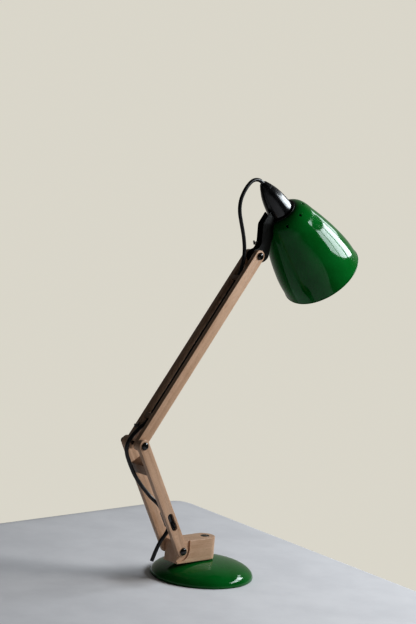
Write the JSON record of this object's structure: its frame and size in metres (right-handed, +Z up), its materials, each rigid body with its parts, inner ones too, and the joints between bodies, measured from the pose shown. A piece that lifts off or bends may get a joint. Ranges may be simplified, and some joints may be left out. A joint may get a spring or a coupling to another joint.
{
  "type": "swing arm desk lamp",
  "caption": "Desk lamp with a weighted dome base, swivelling wooden block, two pairs of wooden strips clamped by wing nuts, and a spun enamelled shade.",
  "frame": {"origin": "centre of the underside of the base pad, where the swivel axis meets the table", "axes": "+Z up along the swivel axis, +X towards the shade, -Y the side with the switch"},
  "size_m": [0.435, 0.165, 0.64],
  "materials": {
    "green_enamel": "gloss",
    "cast_weight": "rough",
    "base_pad": "matt",
    "plain_steel": "satin",
    "black_steel": "satin",
    "beech_block": "satin lacquer",
    "beech_strips": "satin lacquer",
    "beech_spacers": "satin lacquer",
    "black_plastic": "gloss",
    "flex": "satin",
    "white_ceramic": "matt",
    "brass_contacts": "satin",
    "bulb_cap": "satin",
    "bulb_glass": "frosted"
  },
  "bodies": {
    "base": {"base_dome": "green_enamel", "base_weight": "cast_weight", "base_pad": "base_pad", "swivel_thrust_washer": "plain_steel", "swivel_bolt": "black_steel", "swivel_plate_washer": "plain_steel", "swivel_nut": "plain_steel"},
    "turntable": {"pivot_block": "beech_block"},
    "lower_arm": {"lower_strip_near": "beech_strips", "lower_strip_far": "beech_strips", "lower_spacer": "beech_spacers", "base_bolt": "black_steel", "base_washer": "black_steel", "elbow_bolt": "black_steel", "elbow_washer": "black_steel", "switch_back": "black_plastic", "switch_front": "black_plastic", "cord_lower": "flex", "cord_tail": "flex"},
    "rocker": {"switch_rocker": "black_plastic"},
    "base_nut": {"base_wing_nut": "black_steel"},
    "elbow_nut": {"elbow_wing_nut": "black_steel"},
    "head_nut": {"head_wing_nut": "black_steel"},
    "upper_arm": {"upper_strip_near": "beech_strips", "upper_strip_far": "beech_strips", "upper_spacer_low": "beech_spacers", "upper_spacer_high": "beech_spacers", "head_bolt": "black_steel", "head_washer": "black_steel", "cord_upper": "flex", "cord_elbow": "flex"},
    "head": {"head_bracket": "black_steel", "shade": "green_enamel", "shade_clamp_ring": "black_plastic", "lampholder_barrel": "black_plastic", "terminal_block": "white_ceramic", "contact_plungers": "brass_contacts", "lampholder_cover": "black_plastic", "cord_grip": "black_plastic", "bulb_cap": "bulb_cap", "bulb_glass": "bulb_glass", "cord_head": "flex"}
  },
  "joints": [
    {"name": "base_swivel", "type": "hinge", "parent": "base", "child": "turntable", "pos_m": [0, 0, 0.045], "axis": [0, 0, 1], "continuous": true},
    {"name": "lower_arm_tilt", "type": "hinge", "parent": "turntable", "child": "lower_arm", "pos_m": [-0.063, 0, 0.0505], "axis": [0, 1, 0], "range_deg": [-35, 28]},
    {"name": "elbow_tilt", "type": "hinge", "parent": "lower_arm", "child": "upper_arm", "pos_m": [-0.157, 0, 0.22363], "axis": [0, 1, 0], "range_deg": [-60, 60], "deforming": ["cord_elbow", "cord_lower"]},
    {"name": "head_tilt", "type": "hinge", "parent": "upper_arm", "child": "head", "pos_m": [0.0579, 0, 0.51618], "axis": [0, 1, 0], "range_deg": [-45, 60], "deforming": ["cord_head", "cord_upper"]},
    {"name": "switch_rock", "type": "hinge", "parent": "lower_arm", "child": "rocker", "pos_m": [-0.08948, -0.0184, 0.09927], "axis": [0.8788, 0, 0.4772], "range_deg": [0, 10]},
    {"name": "base_nut_turn", "type": "hinge", "parent": "lower_arm", "child": "base_nut", "pos_m": [-0.063, 0.0276, 0.0505], "axis": [0, 1, 0], "range_deg": [-90, 90]},
    {"name": "elbow_nut_turn", "type": "hinge", "parent": "lower_arm", "child": "elbow_nut", "pos_m": [-0.157, 0.0276, 0.22363], "axis": [0, 1, 0], "range_deg": [-90, 90]},
    {"name": "head_nut_turn", "type": "hinge", "parent": "upper_arm", "child": "head_nut", "pos_m": [0.0579, 0.0193, 0.51618], "axis": [0, 1, 0], "range_deg": [-90, 90]}
  ]
}
